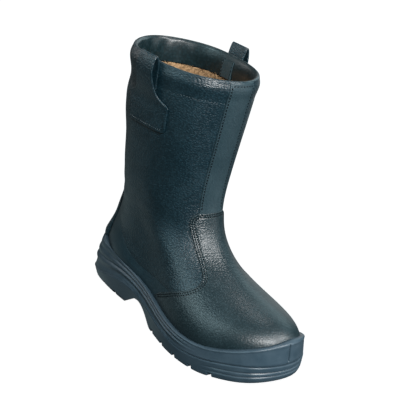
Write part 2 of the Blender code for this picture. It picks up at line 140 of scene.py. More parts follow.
GROOVE_REACH = 90
FAR = 400
VAMP_EDGE = (
    (144, 30), (145, 37), (164, 50.5), (180, 59), (191, 63.5), (197.5, 67.5), (200.5, 71.5), (200, 75),
    (197.4, 78), (192, 82.4), (182, 91), (172.3, 101.6), (165.6, 113), (162, 123), (162.3, 129), (166, 135),
)
VAMP_TOP = 136
WING_LEVEL = 0.29
COUNTER_EDGE = (
    (30, 94), (45.5, 89), (54.5, 83.5), (65, 76.5), (78, 69),
    (93, 62.5), (104, 59.8), (120, 58.6), (150, 58.8), (185, 58.5),
)
STRIP_HALF = ((VAMP_TOP, 14.2), (FAR, 15.8))
STRAP_REACH, STRAP_TOP, STRAP_GAP, STRAP_EDGE = 0.042, 127, 0.6, 0.8
STRAP_CROWN = ((0.0, 7.6), (0.06, 7.2), (0.13, 5.2), (0.25, 2.8), (0.5, 2.5), (0.8, 1.9), (1.0, 0.6))
COUNTER_STOP = ((24.4, 0), (17.7, 100))
LOOP_PLACES = {"lateral": 0.246, "medial": 0.780}
LOOP_RISES = {"lateral": 5.5, "medial": 10.5}
STRAP_LEATHER = 2.0
# The way of a loop's strap up the upper, over its fold and down to its patch: height from the collar and lift
LOOP_PATH = (
    (-28, 1.4), (-15, 1.4), (-3, 1.6), ("fold", 5.2), (-3, 9.2), (-15, 8.8),
    (-28, 5.8), (-37, 2.8), (-43, 1.5), (-49, 1.4), (-66, 1.4), (-69, 1.4),
)
LOOP_FOLD = 3
# Half width of a loop's patch by depth below the collar
PATCH_HALF = (
    (14, 12.0), (24, 14.0), (31, 16.5), (34.5, 19.0), (37, 23.5), (39.5, 28.5), (42, 30.5),
    (66, 29.5), (68, 28.5), (69, 26.5),
)

# Sizes of what only the scene shows: panels, their edges and the troughs along their stitches
VAMP_LIFT, COUNTER_LIFT, STRIP_LIFT, TAB_LIFT = 1.8, 0.1, 1.2, 1.3
EDGE_ROUND, TROUGH, TROUGH_HALF = 1.1, 0.3, 0.7
PANEL_FOOT, UPPER_FOOT = 0.8, 0.6
VAMP_ROWS = (2.4, 4.7)
VAMP_GRAIN, VAMP_GRAIN_FALL, VAMP_GRAIN_X = 1.15, 0.75, (150, 290)
COUNTER_BACK, COUNTER_ROWS, COUNTER_TROUGH = 95.5, (0.9, 3.0), 0.4
COUNTER_GRAIN, COUNTER_GRAIN_X = 0.3, (40, 110)
FLARE, FLARE_REACH = 1.5, 10
STRIP_UNDER, STRIP_SHORT, STRIP_ROUND = 2, 0.4, 1.6
STRIP_ROW, STRIP_TOP_ROW, STRIP_TROUGH = 2.1, 4.0, 0.15
STRAP_ROUND = 0.03
LOOP_HALF, PATCH_BLEND = 12, (-6, -14)
PATCH_ROWS, PATCH_ROW_REACH, PATCH_SIDE = (0.86, 0.975), 0.86, 0.9

# The collar: its roll, swell, lean and hem, and the facing with the strap ends sewn on it
ROLL = 2.0
SWELL, SWELL_START = 0.8, 0.93
LEAN, LEAN_START, LEAN_END, LEAN_POWER = 2.9, 0.963, 1.004, 1.3
HEM, HEM_SHOWN = 0.918, (0.345, 0.655)
HEM_TROUGH, HEM_TROUGH_HALF, HEM_SWELL, HEM_SWELL_REACH = 0.25, 0.9, 0.3, 0.025
FACING_DEPTH, FACING_PAD = 24, 1.5
FACING_IN = LEAN - SWELL + 2 * ROLL - 0.3
DENT_DEEP, DENT_REACH, DENT_COUNT = 0.9, 0.07, 26
SLACK_DEEP, SLACK_COUNT, SLACK_START = 0.35, 7, 0.6
SEWN_HALF, SEWN_EDGE, SEWN_TOP, SEWN_PRESS, SEWN_DEEP = 11.0, 0.6, 0.16, 0.75, 0.9
TAB_ROW = 1.8
TUCK_OUT, TUCK_UP = 2.2, 0.5

# Fur: waves of its tufts as count round, length, turn and start. Then the felt of the footbed
PILE = 4.5
FUR_BACK, FUR_UNDER, FUR_FOOT, MEAN_FLECK = 2.9, 1.5, 0.2, 0.45
TUFT_WAVES = ((31, 3.1, 0.3, 1.0), (47, 2.3, 1.7, 0.2), (23, 4.7, 2.9, 2.2), (61, 1.9, 0.9, 3.0))
TUFTS, TUFT_REACH, TUFT_ROOT = 24000, 0.61, 4.4
FELT_IN, FELT_THICK, FELT_DISH = 3.6, 5, 0.8

# The sole's rim where it rolls into the cup, as way off the upper and rise, and the tread's notches
RIM_ROLL = ((1.9, 0.15), (1.0, -0.7))
CUP_LEVEL = 0.7
TREAD_LEDGE, SHARP_FROM = 6.0, 35
NOTCH_X = (8, 34, 61.5, 157, 182, 207, 231, 253)
NOTCH_DEEP, NOTCH_WIDE = 3.2, 4.6
NOTCH_TAPER, NOTCH_OUT, NOTCH_RISE = 0.7, 20, 0.6

# The photo's view: turn, tilt and roll in degrees, distance, target, and lens on its frame
VIEW_TURN, VIEW_TILT, VIEW_ROLL = 49.06, 19.427, 6.619
VIEW_DISTANCE = 762.65
VIEW_TARGET = (137.412, 10.381, 136.339)
VIEW_LENS, VIEW_FRAME = 63.546, 36


def cubic_through(knots, values, wanted, period=None):
    """A cubic spline through the values at the knots, natural at its ends or closed over a period."""
    knots = np.asarray(knots, float)
    values = np.asarray(values, float)
    wanted = np.asarray(wanted, float)
    if period:
        knots = np.append(knots, knots[0] + period)
        values = np.concatenate([values, values[:1]])
        wanted = knots[0] + np.mod(wanted - knots[0], period)
    count = len(knots)
    step = np.diff(knots)
    slope = np.diff(values, axis=0) / step[:, None]
    matrix = np.zeros((count, count))
    right = np.zeros_like(values)
    for i in range(1, count - 1):
        matrix[i, i - 1 : i + 2] = step[i - 1], 2 * (step[i - 1] + step[i]), step[i]
        right[i] = 6 * (slope[i] - slope[i - 1])
    if period:
        matrix[0, 0], matrix[0, -1] = 1, -1
        matrix[-1, [0, 1, -2, -1]] = 2 * step[0], step[0], step[-1], 2 * step[-1]
        right[-1] = 6 * (slope[0] - slope[-1])
    else:
        matrix[0, 0] = matrix[-1, -1] = 1
    bend = np.linalg.solve(matrix, right)
    i = np.clip(np.searchsorted(knots, wanted, side="right") - 1, 0, count - 2)
    after = ((wanted - knots[i]) / step[i])[..., None]
    before = 1 - after
    curve = (before**3 - before) * bend[i] + (after**3 - after) * bend[i + 1]
    return before * values[i] + after * values[i + 1] + curve * (step[i] ** 2 / 6)[..., None]


def blend(start, full, x):
    """0 before start, 1 past full, smooth between them."""
    share = np.clip((x - start) / (full - start), 0, 1)
    return share * share * (3 - 2 * share)


def unit(vectors):
    return vectors / np.maximum(np.linalg.norm(vectors, axis=-1, keepdims=True), 1e-9)


def section_ring(row):
    """The ten points of one section."""
    size = dict(zip(UPPER_COLUMNS, row))
    out = [size[name] for name in ("heel_out", "waist_out", "ball_out", "toe_out")]
    inner = [size[name] for name in ("toe_in", "ball_in", "waist_in", "heel_in")]
    x = size["back_x"] + STATIONS * (size["front_x"] - size["back_x"])
    y = np.array([0, *np.negative(out), 0, *inner]) + size["swing"] * STATIONS**SWING_POWER
    z = size["back_z"] + STATIONS * (size["front_z"] - size["back_z"])
    z = z - size["sag"] * np.sin(math.pi * STATIONS**SAG_POWER)
    return np.stack([x, y, z], axis=-1)


UPPER_NET = np.array([section_ring(row) for row in UPPER_SECTIONS])
SPACING = np.linalg.norm(np.diff(UPPER_NET, axis=0), axis=2).mean(axis=1)
UPPER_HEIGHT = SPACING.sum()
LEVEL_KNOTS = np.concatenate([[0], np.cumsum(SPACING)]) / UPPER_HEIGHT
PLAN_OUT = [(around, x, -out) for around, x, out, _ in SOLE_PLAN]
PLAN_IN = [(1 - around, x, inner) for around, x, _, inner in SOLE_PLAN[-2:0:-1]]
PLAN_RING = np.array(PLAN_OUT + PLAN_IN)


def upper_point(around, level):
    """A point of the upper's outer face. around is 0 at the heel and 0.5 at the front, level is 0 below and 1
    at the collar."""
    around, level = np.broadcast_arrays(np.asarray(around, float), np.asarray(level, float))
    by_level = cubic_through(LEVEL_KNOTS, np.eye(len(LEVEL_KNOTS)), level)
    by_around = cubic_through(RING_KNOTS, np.eye(len(RING_KNOTS)), around, period=1)
    by_both = np.einsum("...j,jkc->...kc", by_level, UPPER_NET)
    return np.einsum("...k,...kc->...c", by_around, by_both)


def upper_frame(around, level):
    """Unit vectors round the upper, up it and out of it."""
    step = 1e-3
    round_it = upper_point(around + step, level) - upper_point(around - step, level)
    low, high = np.clip(level - step, 0, 1), np.clip(level + step, 0, 1)
    up_it = upper_point(around, high) - upper_point(around, low)
    return unit(round_it), unit(up_it), unit(np.cross(round_it, up_it))


def sole_outline(around, outset):
    """The sole's outline in plan, moved out by outset."""
    step = 1e-3
    knots, plan = PLAN_RING[:, 0], PLAN_RING[:, 1:]
    point = cubic_through(knots, plan, around, period=1)
    along = cubic_through(knots, plan, around + step, period=1) - point
    away = unit(np.stack([along[:, 1], -along[:, 0]], axis=-1))
    return point + away * np.broadcast_to(outset, len(point))[:, None]


def sole_height(name, x):
    table = np.array(SOLE_HEIGHTS, float)
    return cubic_through(table[:, 0], table[:, [SOLE_COLUMNS.index(name)]], x)[..., 0]


def ground(x):
    """The tread's lowest line: flat, with a bevel behind the heel and the spring of the toe."""
    share = np.clip((x - SPRING_START) / (SOLE_FRONT - SPRING_START), 0, None)
    bevel = np.clip((BEVEL_END - x) / (BEVEL_END - SOLE_BACK), 0, None)
    return TOE_SPRING * share**SPRING_POWER + HEEL_BEVEL * bevel**2


def outward(around, level):
    return upper_frame(around, level)[2]


def on_upper(places):
    """Points of the upper at places round and up it."""
    return upper_point(places[..., 0], places[..., 1])


def level_at(around, z, levels):
    """The upper's levels where its height is z, found between the given levels."""
    around, z = np.broadcast_arrays(np.atleast_1d(around), np.atleast_1d(z))
    heights = upper_point(around[:, None], levels)[..., 2]
    return np.array([np.interp(height, column, levels) for height, column in zip(z, heights)])


def rim_level(around):
    """The upper's level at the top of the sole's rim."""
    rim = sole_height("rim", sole_outline(around, 0)[:, 0])
    return level_at(around, rim, np.linspace(0, 0.4, 41))


def hump(distance, half):
    """A smooth hump, 1 at no distance and almost 0 at twice its half width."""
    return np.exp(-((distance / half) ** 2))


def round_over(share):
    """A quarter-round edge: 0 at its foot, 1 from its top on."""
    return np.sqrt(1 - (1 - np.clip(share, 0, 1)) ** 2)


def spaced_across(count):
    """Places across a strip from -1 to 1, close together at its edges."""
    return np.sin(np.linspace(-1, 1, count) * math.pi / 2)


def travelled(points):
    """How far along a line each of its points is."""
    return np.concatenate([[0], np.cumsum(np.linalg.norm(np.diff(points, axis=0), axis=1))])


def at_distances(wanted, travel, values):
    """The values along a line at the distances wanted."""
    return np.stack([np.interp(wanted, travel, column) for column in values.T], axis=-1)


def signed(around):
    """A way round the upper as -0.5 to 0.5."""
    return np.mod(around + 0.5, 1) - 0.5


def girth_at(place, level):
    """The upper's girth at a level, if all of it were as wide as it is at a place round it."""
    ends = upper_point(np.array([place - PROBE, place + PROBE]), level)
    return np.linalg.norm(ends[1] - ends[0]) / (2 * PROBE)


PROBE = 5e-3
COLLAR_GIRTH = travelled(upper_point(np.linspace(0, 1, 401), 1.0))[-1]

# Creases and soft dents of the outer side: place round and up the upper, half length and half width, the
# turn of the line from level in degrees, and how deep the trough is, or how high where it is negative.
OUTER_CREASES = (
    (0.300, 0.455, 34, 10, -14, 0.35),
    (0.250, 0.400, 30, 9, -8, 0.30),
    (0.100, 0.430, 22, 7, 10, 0.45),
    (0.140, 0.370, 24, 6, 18, 0.35),
    (0.310, 0.640, 46, 13, -72, 0.40),
    (0.170, 0.680, 50, 14, 84, -0.50),
    (0.318, 0.893, 11, 1.6, 52, 0.16),
    (0.330, 0.890, 12, 1.6, 50, 0.18),
    (0.342, 0.886, 11, 1.6, 47, 0.16),
    (0.125, 0.895, 40, 9, 0, 1.20),
    (0.110, 0.775, 40, 20, 0, -1.50),
    (0.400, 0.120, 40, 12, -20, 0.25),
)
INNER_CREASES = tuple((1 - row[0], *row[1:4], -row[4], row[5]) for row in OUTER_CREASES)
# A trough has a low ridge along each side: its share of the depth, and how many half widths away it is.
RIDGE, RIDGE_AWAY = 0.45, 1.9


def crease(around, level):
    """How far the leather's soft troughs and ridges lift it, in millimetres."""
    lift = np.zeros(np.broadcast(around, level).shape)
    for place, height, long, wide, turn, depth in OUTER_CREASES + INNER_CREASES:
        across = signed(around - place) * girth_at(place, height)
        rise = (level - height) * UPPER_HEIGHT
        turn = math.radians(turn)
        along = across * math.cos(turn) + rise * math.sin(turn)
        aside = rise * math.cos(turn) - across * math.sin(turn)
        trough = hump(aside, wide) - RIDGE * hump(np.abs(aside) - RIDGE_AWAY * wide, wide)
        lift = lift - depth * trough * hump(along, long)
    return lift


def collar_lean(level):
    """How far the padded hem swells, and then turns in towards its rolled rim."""
    turned_in = blend(LEAN_START, LEAN_END, level) ** LEAN_POWER
    return SWELL * blend(SWELL_START, LEAN_START, level) - LEAN * turned_in


def hem_lift(level):
    """The hem that the facing is sewn with: a shallow trough along its stitches and a soft swell above it."""
    trough = HEM_TROUGH * hump((level - HEM) * UPPER_HEIGHT, HEM_TROUGH_HALF)
    return HEM_SWELL * blend(HEM, HEM + HEM_SWELL_REACH, level) - trough


def skin(around, level, lift, hem=True):
    """A point of the dressed upper, its creases and hem included, moved out by lift."""
    around, level = np.broadcast_arrays(np.asarray(around, float), np.asarray(level, float))
    whole = crease(around, level) + collar_lean(level) + lift
    if hem:
        whole = whole + hem_lift(level)
    return upper_point(around, level) + whole[..., None] * outward(around, level)


def grid_faces(rows, columns, closed):
    """Quads between rows of points. A closed grid joins the end of each row to its start."""
    index = np.arange(rows * columns).reshape(rows, columns)
    after = np.roll(index, -1, axis=1)
    if not closed:
        index, after = index[:, :-1], after[:, :-1]
    return np.stack([index[:-1], after[:-1], after[1:], index[1:]], axis=-1).reshape(-1, 4)


FINISHES = {}
LIT = bpy.data.collections.new("lit_pieces")


def make_piece(name, points, faces, finish, slot, nodes=(), **marks):
    """A mesh in millimetres becomes a piece of the boot, in metres. Marks are values at its points."""
    places = (np.reshape(points, (-1, 3)) - (HEEL_REST_X, 0, 0)) * MM
    mesh = bpy.data.meshes.new(name)
    mesh.from_pydata(places.tolist(), [], [list(face) for face in faces])
    mesh.shade_smooth()
    for mark, values in marks.items():
        layer = mesh.attributes.new(mark, "FLOAT", "POINT")
        values = np.broadcast_to(values, np.shape(points)[:-1])
        layer.data.foreach_set("value", np.ravel(values).astype(np.float32))
    mesh.materials.append(FINISHES[finish])
    piece = bpy.data.objects.new(name, mesh)
    bpy.context.scene.collection.objects.link(piece)
    LIT.objects.link(piece)
    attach(piece, "root")
    if nodes:
        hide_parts(*nodes)
    return piece


def grid_piece(name, points, closed, *finish, **more):
    rows, columns = points.shape[:2]
    return make_piece(name, points, grid_faces(rows, columns, closed), *finish, **more)


def add(tree, kind, settings=None, inputs=None):
    """A shader node with its settings, and its inputs set or joined to other nodes."""
    node = tree.nodes.new(kind)
    for name, value in (settings or {}).items():
        setattr(node, name, value)
    for name, value in (inputs or {}).items():
        if isinstance(value, bpy.types.NodeSocket):
            tree.links.new(value, node.inputs[name])
        else:
            node.inputs[name].default_value = value
    return node


def math_node(tree, operation, first, second):
    return add(tree, "ShaderNodeMath", {"operation": operation}, {0: first, 1: second}).outputs[0]


def vector_node(tree, operation, *values):
    return add(tree, "ShaderNodeVectorMath", {"operation": operation}, dict(enumerate(values))).outputs[0]


def mix_colour(tree, factor, first, second):
    inputs = {0: factor, 6: (*first, 1), 7: (*second, 1)}
    return add(tree, "ShaderNodeMix", {"data_type": "RGBA"}, inputs).outputs[2]


def spread(tree, value, to_low, to_high, low=0.3, high=0.7):
    """A value from low to high spread over another range. Noise is mostly between 0.3 and 0.7."""
    inputs = {"Value": value, "From Min": low, "From Max": high, "To Min": to_low, "To Max": to_high}
    return add(tree, "ShaderNodeMapRange", None, inputs).outputs["Result"]


def noise(tree, place, scale, detail, **more):
    inputs = {"Vector": place, "Scale": scale, "Detail": detail, **more}
    return add(tree, "ShaderNodeTexNoise", None, inputs).outputs


def domes(tree, place, scale, randomness):
    """Cells with soft edges, as the distance from their middles."""
    inputs = {"Vector": place, "Scale": scale, "Smoothness": 0.4, "Randomness": randomness}
    return add(tree, "ShaderNodeTexVoronoi", {"feature": "SMOOTH_F1"}, inputs).outputs["Distance"]


def bumped(tree, strength, distance, height):
    """The normal of a relief that is a distance high, in millimetres."""
    inputs = {"Strength": strength, "Distance": distance * MM, "Height": height}
    return add(tree, "ShaderNodeBump", None, inputs).outputs["Normal"]


def new_finish(name, inputs):
    """A material with its shader's plain values set, and its tree, shader and object coordinates."""
    material = bpy.data.materials.new(name)
    material.use_nodes = True
    tree = material.node_tree
    shader = tree.nodes["Principled BSDF"]
    for socket, value in inputs.items():
        shader.inputs[socket].default_value = value
    FINISHES[name] = material
    return tree, shader, add(tree, "ShaderNodeTexCoord").outputs["Object"]


def wire(tree, shader, sources):
    for socket, source in sources.items():
        tree.links.new(source, shader.inputs[socket])


def leather(name, dark, light, rough, cell, stretch, relief, gloss):
    """Grained leather: domed pebbles of about a cell's size, finer wrinkles on them, tone that drifts, and
    pebble tops lighter and hollows darker, partly wear and partly painted shade.
    """
    tree, shader, place = new_finish(name, gloss)
    drift = noise(tree, place, 260.0, 1.0)["Color"]
    shift = vector_node(tree, "MULTIPLY_ADD", drift, (0.5 * MM,) * 3, place)
    shift = vector_node(tree, "MULTIPLY", shift, stretch)
    size = 1 / (cell * MM)
    pebble = domes(tree, shift, size, 0.8)
    small = domes(tree, shift, 2.3 * size, 1.0)
    fine = noise(tree, place, 1900.0, 3.0)["Fac"]
    patch = noise(tree, place, 34.0, 3.0)["Fac"]
    hollow = math_node(tree, "ADD", pebble, math_node(tree, "MULTIPLY", small, 0.2))
    height = math_node(tree, "SUBTRACT", math_node(tree, "MULTIPLY", fine, 0.12), hollow)
    coarse = add(tree, "ShaderNodeAttribute", {"attribute_name": "grain"}).outputs["Fac"]
    bump = bumped(tree, math_node(tree, "MULTIPLY", coarse, relief), cell * 0.4, height)
    tone = spread(tree, patch, 0.25, 0.75)
    # Pebble tops lighter and the hollows between them darker: partly wear, partly painted light and shade of
    # the grain.
    wear_and_painted_shade = spread(tree, pebble, 0.5, -0.5, 0.1, 0.6)
    colour = mix_colour(tree, math_node(tree, "ADD", tone, wear_and_painted_shade), dark, light)
    matt = spread(tree, patch, rough - 0.05, rough + 0.05)
    wire(tree, shader, {"Base Color": colour, "Roughness": matt, "Normal": bump})


def moulded(name, dark, light, rough, gloss):
    """Moulded sole: fine matt grain, and tone that drifts with dust in it."""
    tree, shader, place = new_finish(name, gloss)
    fine = noise(tree, place, 1500.0, 4.0)["Fac"]
    patch = noise(tree, place, 60.0, 5.0, Roughness=0.6)["Fac"]
    colour = mix_colour(tree, spread(tree, patch, 0.0, 1.0), dark, light)
    matt = spread(tree, patch, rough - 0.07, rough + 0.07)
    bump = bumped(tree, 0.25, 0.25, fine)
    wire(tree, shader, {"Base Color": colour, "Roughness": matt, "Normal": bump})


def pile(name, dark, light, scale):
    """Fur or felt: flecked tufts."""
    tree, shader, place = new_finish(name, {"Roughness": 0.95, "Specular IOR Level": 0.1})
    fleck = add(tree, "ShaderNodeAttribute", {"attribute_name": "fleck"}).outputs["Fac"]
    tuft = noise(tree, place, scale, 4.0, Roughness=0.65)["Fac"]
    tone = math_node(tree, "ADD", spread(tree, tuft, -0.35, 0.35), fleck)
    colour = mix_colour(tree, tone, dark, light)
    wire(tree, shader, {"Base Color": colour, "Normal": bumped(tree, 0.8, 1.0, tuft)})


def thread(name, dark, light):
    """Sewing thread: a fine twist along it."""
    tree, shader, place = new_finish(name, {"Roughness": 0.8, "Specular IOR Level": 0.05})
    twist = noise(tree, place, 2400.0, 2.0)["Fac"]
    colour = mix_colour(tree, twist, dark, light)
    wire(tree, shader, {"Base Color": colour, "Normal": bumped(tree, 0.5, 0.15, twist)})


def make_finishes():
    """Leathers have a dark and a light tone, roughness, cell size, stretch of the cells, relief and gloss."""
    satin = {"Specular IOR Level": 0.38, "Coat Weight": 0.03, "Coat Roughness": 0.3}
    dull = {"Specular IOR Level": 0.3}
    even, taut = (1.0, 1.0, 1.0), (0.9, 0.9, 1.2)
    shaft, toe = (0.75, 0.75, 1.25), (1.1, 0.75, 1.25)
    leather("pebbled", (0.0015, 0.009, 0.0135), (0.006, 0.022, 0.031), 0.42, 1.8, shaft, 0.58, satin)
    leather("vamp", (0.004, 0.011, 0.014), (0.010, 0.022, 0.027), 0.39, 1.9, toe, 0.5, satin)
    leather("counter", (0.004, 0.016, 0.023), (0.009, 0.026, 0.036), 0.42, 1.3, taut, 0.4, dull)
    leather("facing", (0.002, 0.008, 0.010), (0.006, 0.017, 0.021), 0.38, 3.0, even, 0.10, satin)
    # The strap ends' leather: a lighter copy of the loops' leather, lightened as painted light where the
    # facing shades it.
    leather("tab", (0.014, 0.028, 0.034), (0.026, 0.046, 0.054), 0.42, 1.6, even, 0.3, satin)
    leather("smooth", (0.010, 0.022, 0.028), (0.019, 0.037, 0.045), 0.42, 1.3, taut, 0.4, dull)
    moulded("rubber", (0.018, 0.034, 0.047), (0.030, 0.050, 0.066), 0.40, dull)
    pile("fur", (0.105, 0.062, 0.031), (0.31, 0.200, 0.108), 420.0)
    pile("felt", (0.20, 0.14, 0.08), (0.42, 0.32, 0.21), 700.0)
    # Near-black thread, darker than the leather so that its rows show the shade of the needle holes: partly
    # the thread's own colour, partly painted shade.
    thread("dark_thread_and_painted_shade", (0.0005, 0.001, 0.0015), (0.003, 0.005, 0.006))
    # Pale grey thread; on a patch's lower row it stands for the glints round the needle holes, a painted
    # highlight.
    thread("grey_thread_and_painted_glint", (0.04, 0.05, 0.055), (0.13, 0.15, 0.16))


def place_on_upper(x, z, side):
    """Where round and up the upper the points x, z in side view are, on its outer side -1 or inner side 1."""
    middle = 0.25 if side < 0 else 0.75
    samples, reach, top = 121, 0.23, 0.75
    all_round = np.linspace(middle - reach, middle + reach, samples)
    around, level = np.meshgrid(all_round, np.linspace(0, top, samples))
    found = upper_point(around, level)[..., [0, 2]].reshape(-1, 2)
    wanted = np.stack([x, z], axis=-1)
    nearest = np.array([np.argmin(((found - point) ** 2).sum(axis=1)) for point in wanted])
    place = np.stack([around.ravel()[nearest], level.ravel()[nearest]], axis=-1)
    rounds, step, most = 8, 1e-4, 0.02
    for _ in range(rounds):
        here = on_upper(place)[:, [0, 2]]
        ahead = (on_upper(place + (step, 0))[:, [0, 2]] - here) / step
        above = (on_upper(place + (0, step))[:, [0, 2]] - here) / step
        change = np.linalg.solve(np.stack([ahead, above], axis=-1), (wanted - here)[..., None])[..., 0]
        place = place + np.clip(change, -most, most)
    return place


def smooth_line(points, count):
    """A cubic line through points, in equal steps along it."""
    points = np.asarray(points, float)
    for samples in (count * 4, count):
        length = travelled(points)
        points = cubic_through(length, points, np.linspace(0, length[-1], samples))
    return points


def even_steps(places, count):
    """A line of places round and up the upper, in equal steps along the surface."""
    length = travelled(on_upper(places))
    return at_distances(np.linspace(0, length[-1], count), length, places)


def from_line(points, line):
    """How far rows of points are from a line of short straight steps."""
    start, step = line[:-1], np.diff(line, axis=0)
    length = np.maximum((step**2).sum(axis=-1), 1e-9)
    rows = []
    for row in points:
        offset = row[:, None] - start
        share = np.clip((offset * step).sum(axis=-1) / length, 0, 1)
        rows.append(np.linalg.norm(offset - share[..., None] * step, axis=-1).min(axis=1))
    return np.array(rows)


# How far from a panel's edge its first rows of points are
CLOSE_ROWS = np.array([0, 0.12, 0.3, 0.6, 1.0, 1.5, 2.0, 2.5, 3.0, 3.6, 4.3, 5.0, 5.6, 6.2, 7.0, 8.5])


def panel_places(edge, base, count):
    """Rows between an edge and a base line, base first, close together near the edge and then even, and how
    far from the edge they are."""
    share = np.linspace(0, 1, 25)[:, None]
    points = on_upper(edge + (base - edge) * share[..., None])
    shortest = 0.2
    length = np.maximum(np.linalg.norm(np.diff(points, axis=0), axis=2).sum(axis=0), shortest)
    close = CLOSE_ROWS[:, None]
    near = np.minimum(close / length, 0.5 * close / close[-1])
    rest = near[-1] + (1 - near[-1]) * np.linspace(0, 1, count + 1)[1:, None]
    share = np.concatenate([near, rest])[::-1]
    places = edge + (base - edge) * share[..., None]
    return places[..., 0], places[..., 1], from_line(on_upper(places), on_upper(edge))


def line_inside(points, out, distance, inset):
    """The line of a panel's points that is inset from its edge, and the way out of the boot along it."""
    line = []
    kept = np.flatnonzero(distance.max(axis=0) > inset)
    for column in kept:
        inward = distance[::-1, column]
        last = int(np.argmax(inward > inset))
        share = (inset - inward[last - 1]) / (inward[last] - inward[last - 1])
        before, after = points[-last, column], points[-last - 1, column]
        line.append(before + (after - before) * share)
    return np.array(line), out[kept]


def edge_lift(distance, thick, rows, trough=TROUGH):
    """A panel's height over the leather under it: a rounded edge, and a trough along each row of stitches."""
    lift = thick * round_over(distance / EDGE_ROUND)
    for row in rows:
        lift = lift - trough * hump(distance - row, TROUGH_HALF)
    return lift


STITCHES = {"dark_thread_and_painted_shade": [], "grey_thread_and_painted_glint": []}
# A stitch: places along it from its middle, and its thickness there
STITCH_RINGS = ((-0.5, 0.35), (-0.42, 0.8), (-0.2, 1.0), (0.2, 1.0), (0.42, 0.8), (0.5, 0.35))
STITCH_SIDES = 8


def sew(line, out, colour, spacing=3.3, length=2.3, width=1.0, height=0.35):
    """A row of stitches along a line of points, raised off the leather's face along out."""
    travel = travelled(line)
    count = int(travel[-1] // spacing)
    wanted = (np.arange(count) + 0.5) * travel[-1] / count
    near = 0.3
    middle = at_distances(wanted, travel, line)
    along = unit(at_distances(wanted + near, travel, line) - at_distances(wanted - near, travel, line))
    up = unit(at_distances(wanted, travel, out))
    axes = np.stack([along, unit(np.cross(up, along)), up], axis=1)
    STITCHES[colour].append((middle, axes, (length, width / 2, height)))


def make_stitches():
    """Every stitch of a colour as one mesh of small capsules."""
    turns = np.arange(STITCH_SIDES) * math.tau / STITCH_SIDES
    shape = np.array([(along, size * math.cos(turn), size * math.sin(turn))
                      for along, size in STITCH_RINGS for turn in turns])
    sides = grid_faces(len(STITCH_RINGS), STITCH_SIDES, True)
    ring = np.arange(STITCH_SIDES)
    ends = np.array([ring[::-1], ring + len(shape) - STITCH_SIDES])
    for colour, rows in STITCHES.items():
        points = np.concatenate([middle[:, None] + np.einsum("ka,nac->nkc", shape * size, axes)
                                 for middle, axes, size in rows])
        start = np.arange(len(points))[:, None, None] * len(shape)
        faces = [*(start + sides).reshape(-1, 4), *(start + ends).reshape(-1, STITCH_SIDES)]
        make_piece(f"stitches_{colour}", points, faces, colour, "leather")


def facing_point(around, share):
    """A point of the facing inside the collar, share of the way down it, and its direction into the boot. The
    facing is padded, dented at the back, and has a flat strap end sewn in behind each pull loop."""
    around, share = np.broadcast_arrays(np.asarray(around, float), np.asarray(share, float))
    level = 1 - (ROLL + share * FACING_DEPTH) / UPPER_HEIGHT
    inward = -outward(around, level)
    pad = FACING_PAD * np.sin(math.pi * np.clip(share, 0, 1) ** 0.8)
    arch = np.sin(math.pi * share)
    from_back = signed(around)
    dents = DENT_DEEP * hump(from_back, DENT_REACH) * np.cos(from_back * math.tau * DENT_COUNT) * arch**0.7
    slack = SLACK_DEEP * np.sin(around * math.tau * SLACK_COUNT + SLACK_START) * arch
    sewn = np.zeros(around.shape)
    for place in LOOP_PLACES.values():
        aside = np.abs(around - place) * COLLAR_GIRTH
        flat = 1 - blend(SEWN_HALF - SEWN_EDGE, SEWN_HALF + SEWN_EDGE, aside)
        sewn = np.maximum(sewn, flat * blend(0.1, SEWN_TOP, share))
    deep = FACING_IN + pad * (1 - SEWN_PRESS * sewn) + (dents + slack) * (1 - sewn) + SEWN_DEEP * sewn
    return upper_point(around, level) + deep[..., None] * inward, inward


def make_upper():
    """The outer leather up to the collar, over its roll and down inside as the facing."""
    columns, rows, turns, inside = 380, 170, 9, 30
    around = np.arange(columns) / columns
    foot = rim_level(around) * UPPER_FOOT
    top = 1 - ROLL / UPPER_HEIGHT
    level = foot + (top - foot) * np.linspace(0, 1, rows)[:, None] ** 0.85
    outer = skin(around, level, 0)
    crown = np.full(columns, top)
    _, up_it, out_of_it = upper_frame(around, crown)
    edge = skin(around, crown, 0)
    angles = np.linspace(0, math.pi, turns + 2)[1:-1]
    roll = np.array([edge + ROLL * (math.sin(a) * up_it + (math.cos(a) - 1) * out_of_it) for a in angles])
    facing, inward = facing_point(around[None, :], np.linspace(0, 1, inside)[:, None])
    tuck = facing[-1] - TUCK_OUT * inward[-1] + TUCK_UP * up_it
    points = np.concatenate([outer, roll[: turns // 2 + 1]])
    grid_piece("upper_leather", points, True, "pebbled", "leather", nodes=["upper"], grain=1.0)
    points = np.concatenate([roll[turns // 2 :], facing, tuck[None]])
    grid_piece("facing_leather", points, True, "facing", "leather", grain=1.0)
    hem = np.linspace(*HEM_SHOWN, 240)
    sew(skin(hem, HEM, 0), outward(hem, np.full(len(hem), HEM)), "grey_thread_and_painted_glint",
        spacing=3.0, length=1.4, width=0.45, height=0.2)
    for name, place in LOOP_PLACES.items():
        make_loop_end(name, place)


def make_loop_end(name, place):
    """The end of a pull loop's strap, sewn flat on the facing."""
    down = np.linspace(SEWN_TOP, 0.97, 60)
    across = spaced_across(40)
    points, inward = facing_point(place + across * SEWN_HALF / COLLAR_GIRTH, down[:, None])
    lift = edge_lift((1 - np.abs(across)) * SEWN_HALF, TAB_LIFT, (TAB_ROW,))
    points = points + lift[None, :, None] * inward
    # The strap end is painted lighter than its loop, as painted light against the facing's shade.
    grid_piece(f"loop_end_{name}", points, False, "tab", "leather", grain=0.8)
    for side in (-1, 1):
        line, inward = facing_point(place + side * (SEWN_HALF - TAB_ROW) / COLLAR_GIRTH, down)
        sew(line + (TAB_LIFT - TROUGH) * inward, inward, "dark_thread_and_painted_shade")


